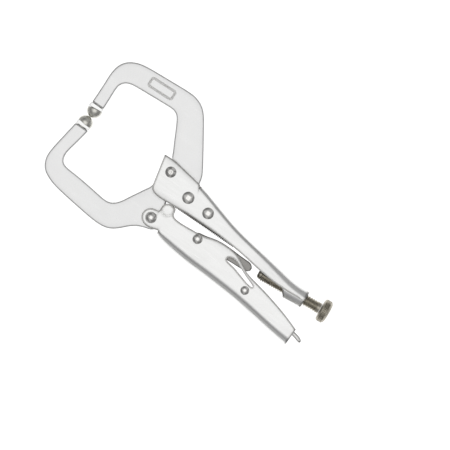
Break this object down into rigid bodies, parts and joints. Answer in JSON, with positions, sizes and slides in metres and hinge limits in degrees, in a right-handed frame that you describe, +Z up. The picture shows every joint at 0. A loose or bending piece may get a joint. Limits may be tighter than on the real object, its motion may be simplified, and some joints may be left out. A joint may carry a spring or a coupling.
{
  "type": "locking C-clamp pliers",
  "caption": "Hand-held locking pliers with a C-shaped pair of jaws, round-nosed tips, nested channel handles, a toggle link and an adjusting screw with a knurled knob.",
  "frame": {"origin": "on the jaw pivot's axis, at the flat of the jaw pivot rivet's lower head, which the tool lies on", "axes": "+X runs back along the handles to the adjusting knob, +Y points from the movable side to the fixed jaw's side, and +Z is up, along the rivets, with the tool lying on its side"},
  "size_m": [0.161, 0.0801, 0.0156],
  "materials": {
    "fixed_handle": "satin nickel plate",
    "fixed_jaw": "satin nickel plate, blasted forging",
    "jaw_pivot_rivet": "bright nickel plate, polished head",
    "fixed_jaw_front_rivet": "bright nickel plate, polished head",
    "fixed_jaw_rear_rivet": "bright nickel plate, polished head",
    "tension_spring": "drawn spring wire",
    "movable_jaw": "satin nickel plate, blasted forging",
    "handle_pivot_rivet": "bright nickel plate, polished head",
    "movable_handle": "satin nickel plate",
    "link_rivet": "bright nickel plate, polished head",
    "lever_rivet": "bright nickel plate, polished head",
    "toggle_link": "dull nickel plate",
    "release_lever": "satin nickel plate",
    "adjusting_screw": "warm nickel plate, turned thread",
    "adjusting_knob": "warm nickel plate, knurled"
  },
  "bodies": {
    "fixed_side": {"fixed_handle": "fixed_handle", "fixed_jaw": "fixed_jaw", "jaw_pivot_rivet": "jaw_pivot_rivet", "fixed_jaw_front_rivet": "fixed_jaw_front_rivet", "fixed_jaw_rear_rivet": "fixed_jaw_rear_rivet", "tension_spring": "tension_spring"},
    "jaw": {"movable_jaw": "movable_jaw", "handle_pivot_rivet": "handle_pivot_rivet"},
    "handle": {"movable_handle": "movable_handle", "link_rivet": "link_rivet", "lever_rivet": "lever_rivet"},
    "link": {"toggle_link": "toggle_link"},
    "lever": {"release_lever": "release_lever"},
    "screw": {"adjusting_screw": "adjusting_screw"},
    "knob": {"adjusting_knob": "adjusting_knob"}
  },
  "joints": [
    {"name": "jaw_pivot", "type": "hinge", "parent": "fixed_side", "child": "jaw", "pos_m": [0, 0, 0.0078], "axis": [0, 0, 1], "range_deg": [0, 27], "deforming": ["tension_spring"]},
    {"name": "handle_pivot", "type": "hinge", "parent": "jaw", "child": "handle", "pos_m": [0.0048, -0.0242, 0.0078], "axis": [0, 0, 1], "range_deg": [-73.2, 0]},
    {"name": "link_pivot", "type": "hinge", "parent": "handle", "child": "link", "pos_m": [0.03, -0.0197, 0.0078], "axis": [0, 0, 1], "range_deg": [0, 79]},
    {"name": "lever_pivot", "type": "hinge", "parent": "handle", "child": "lever", "pos_m": [0.064, -0.0272, 0.0078], "axis": [0, 0, 1], "range_deg": [-5, 0]},
    {"name": "screw_travel", "type": "slide", "parent": "fixed_side", "child": "screw", "axis": [0.9962, 0.0872, 0], "range_m": [0, 0.01]},
    {"name": "knob_turn", "type": "hinge", "parent": "screw", "child": "knob", "pos_m": [0.1028, -0.01287, 0.0078], "axis": [0.9962, 0.0872, 0], "range_deg": [0, 2881]}
  ],
  "couplings": [
    {"joint": "handle_pivot", "follows": "jaw_pivot", "ratio": -2.7028},
    {"joint": "link_pivot", "follows": "jaw_pivot", "ratio": 2.9148},
    {"joint": "knob_turn", "follows": "screw_travel", "rad_per_m": 5026.5}
  ]
}
